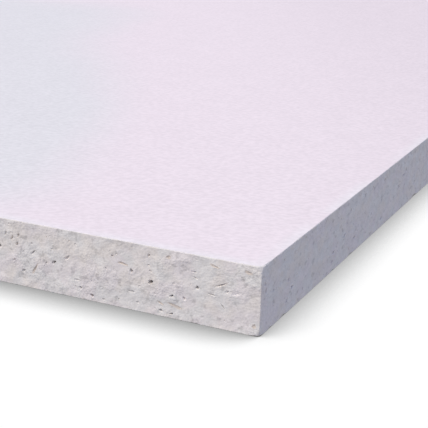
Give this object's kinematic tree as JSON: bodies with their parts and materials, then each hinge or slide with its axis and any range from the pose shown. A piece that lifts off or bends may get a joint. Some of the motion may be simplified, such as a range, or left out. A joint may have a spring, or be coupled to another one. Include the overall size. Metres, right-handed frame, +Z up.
{
  "type": "gypsum fibre floor board",
  "caption": "Rectangular sheet of pressed gypsum and paper fibre with sanded faces and square sawn edges, for dry floor screeds.",
  "frame": {"origin": "centre of the underside, on the surface the board lies on", "axes": "+X along the board's length, +Y along its width, +Z up through its thickness"},
  "size_m": [1.2, 0.6, 0.018],
  "materials": {
    "gypsum_fibre": "matte"
  },
  "bodies": {
    "root": {"floor_board": "gypsum_fibre"}
  },
  "joints": []
}
